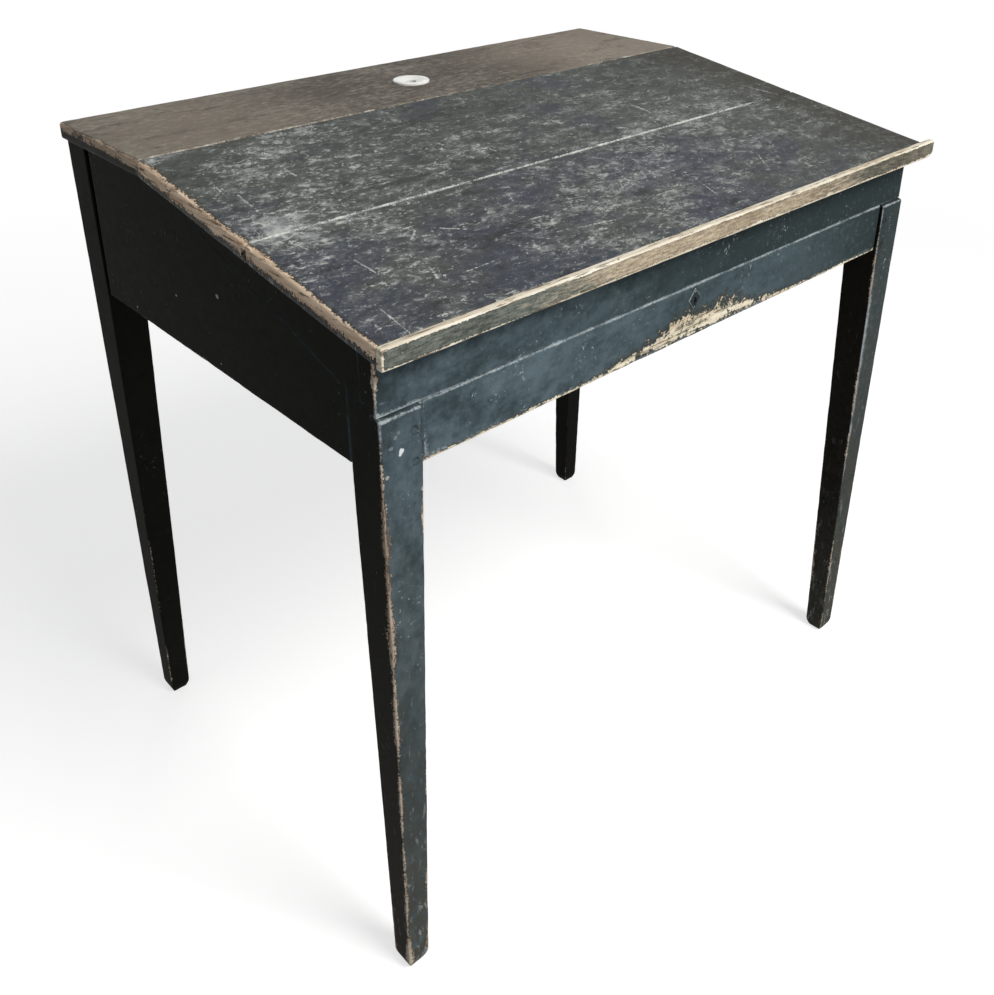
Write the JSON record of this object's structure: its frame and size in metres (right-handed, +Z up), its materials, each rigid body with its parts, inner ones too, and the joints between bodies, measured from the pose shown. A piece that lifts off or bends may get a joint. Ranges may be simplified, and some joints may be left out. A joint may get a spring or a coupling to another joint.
{
  "type": "school desk with lift lid",
  "caption": "Old painted wooden school desk with a sloping lift lid over a storage box, a level back board with an inkwell, a keyhole and tapered legs.",
  "frame": {"origin": "on the floor, under the middle of the whole desk", "axes": "+Z up, the user sits at -Y, +X to the user's right"},
  "size_m": [0.826, 0.575, 0.803],
  "materials": {
    "painted_wood": "old dark paint over softwood, worn through on the edges",
    "lid_paint": "old dark paint over softwood, densely scratched",
    "back_board": "dark paint rubbed thin to brown",
    "nosing": "bare and stained edge strip",
    "bare_wood": "aged bare softwood",
    "steel": "dull, dark",
    "brass": "dull, darkened",
    "porcelain": "glazed"
  },
  "bodies": {
    "carcass": {"leg_front_left": "painted_wood", "leg_front_right": "painted_wood", "leg_rear_left": "painted_wood", "leg_rear_right": "painted_wood", "front_apron": "painted_wood", "side_panel_left": "painted_wood", "side_panel_right": "painted_wood", "back_panel": "painted_wood", "front_pegs": "painted_wood", "rear_pegs": "painted_wood", "back_board": "back_board", "bottom_board_front": "bare_wood", "bottom_board_middle": "bare_wood", "bottom_board_rear": "bare_wood", "side_ledger_left": "bare_wood", "side_ledger_right": "bare_wood", "front_ledger": "bare_wood", "rear_ledger": "bare_wood", "bottom_nails": "steel", "back_board_nails": "steel", "hinge_leaf_fixed_left": "steel", "hinge_leaf_fixed_right": "steel", "hinge_pin_left": "steel", "hinge_pin_right": "steel", "hinge_screws_fixed": "steel", "lock_case": "steel", "lock_cap": "steel", "lock_screws": "steel", "lock_selvedge": "brass", "escutcheon": "brass", "escutcheon_pins": "brass"},
    "lid": {"lid_board_front": "lid_paint", "lid_board_rear": "lid_paint", "lid_front_rail": "painted_wood", "lid_wedge_left": "painted_wood", "lid_wedge_right": "painted_wood", "nosing_strip": "nosing", "nosing_nails": "steel", "lid_nails": "steel", "hinge_leaf_moving_left": "steel", "hinge_leaf_moving_right": "steel", "hinge_screws_moving": "steel", "link_screws": "steel", "link_plate": "brass"},
    "lock_bolt": {"lock_bolt": "steel"},
    "inkwell": {"inkwell": "porcelain"}
  },
  "joints": [
    {"name": "lid_hinge", "type": "hinge", "parent": "carcass", "child": "lid", "pos_m": [0, 0.1, 0.7985], "axis": [-1, 0, 0], "range_deg": [0, 110]},
    {"name": "bolt_slide", "type": "slide", "parent": "carcass", "child": "lock_bolt", "axis": [1, 0, 0], "range_m": [0, 0.008]},
    {"name": "inkwell_lift", "type": "slide", "parent": "carcass", "child": "inkwell", "axis": [0, 0, 1], "range_m": [0, 0.06]}
  ]
}
